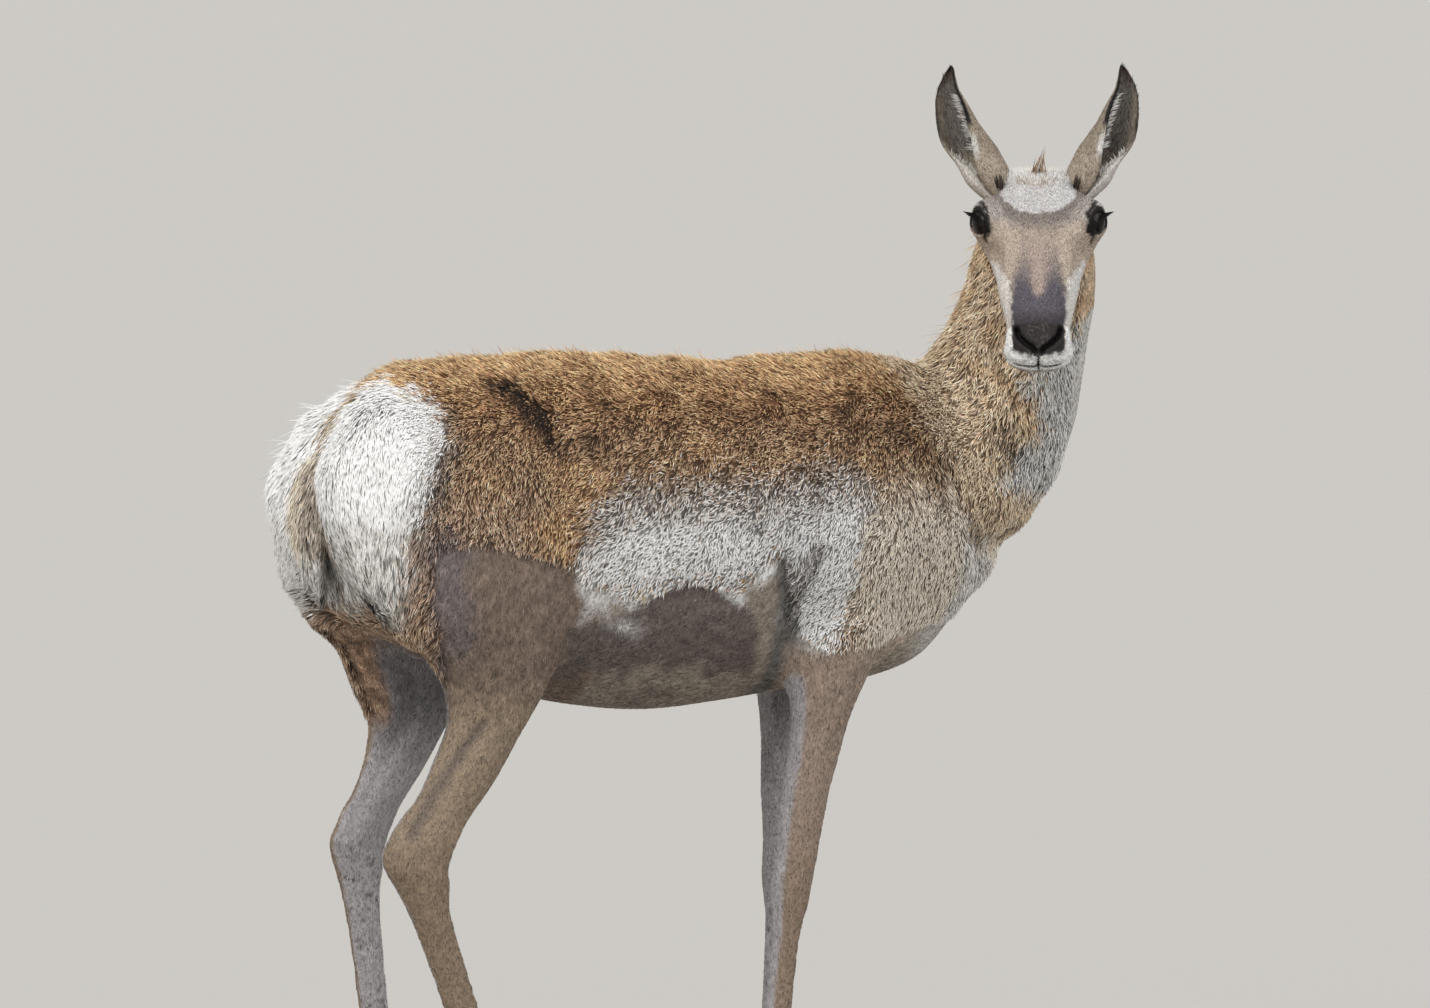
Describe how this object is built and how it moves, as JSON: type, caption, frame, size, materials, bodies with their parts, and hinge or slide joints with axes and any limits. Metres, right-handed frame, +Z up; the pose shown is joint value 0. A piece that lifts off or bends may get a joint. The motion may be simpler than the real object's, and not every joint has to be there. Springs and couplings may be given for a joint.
{
  "type": "pronghorn",
  "caption": "Life-size pronghorn doe standing still with her head turned back over her right side, ears up, short coat.",
  "frame": {"origin": "on the floor under the middle of the whole animal's box", "axes": "+X forward along the body to the chest, +Y to the animal's left, +Z up"},
  "size_m": [0.9796, 0.3774, 1.1915],
  "materials": {
    "coat_body": "short coarse hair, orange-brown above, white on the flanks and rump",
    "coat_neck": "short hair, tan with a white throat",
    "coat_face": "very short hair, tan face, dark muzzle, white crown, lips and cheeks",
    "coat_ear": "very short hair, dark rim and tip, dark grey-brown hair in the cup",
    "coat_leg": "short smooth hair, tan-brown in front, paler behind and inside",
    "coat_tail": "short coarse hair, brown along the middle",
    "hoof": "dark satin horn with fine growth lines",
    "eye": "wet, almost black"
  },
  "bodies": {
    "root": {"ear_left": "coat_ear", "ear_right": "coat_ear", "eye_left": "eye", "eye_right": "eye", "fore_left_claw_inner": "hoof", "fore_left_claw_outer": "hoof", "fore_left_lower": "coat_leg", "fore_left_upper": "coat_leg", "fore_right_claw_inner": "hoof", "fore_right_claw_outer": "hoof", "fore_right_lower": "coat_leg", "fore_right_upper": "coat_leg", "head": "coat_face", "hind_left_claw_inner": "hoof", "hind_left_claw_outer": "hoof", "hind_left_lower": "coat_leg", "hind_left_upper": "coat_leg", "hind_right_claw_inner": "hoof", "hind_right_claw_outer": "hoof", "hind_right_lower": "coat_leg", "hind_right_upper": "coat_leg", "neck": "coat_neck", "tail": "coat_tail", "torso": "coat_body"}
  },
  "joints": []
}
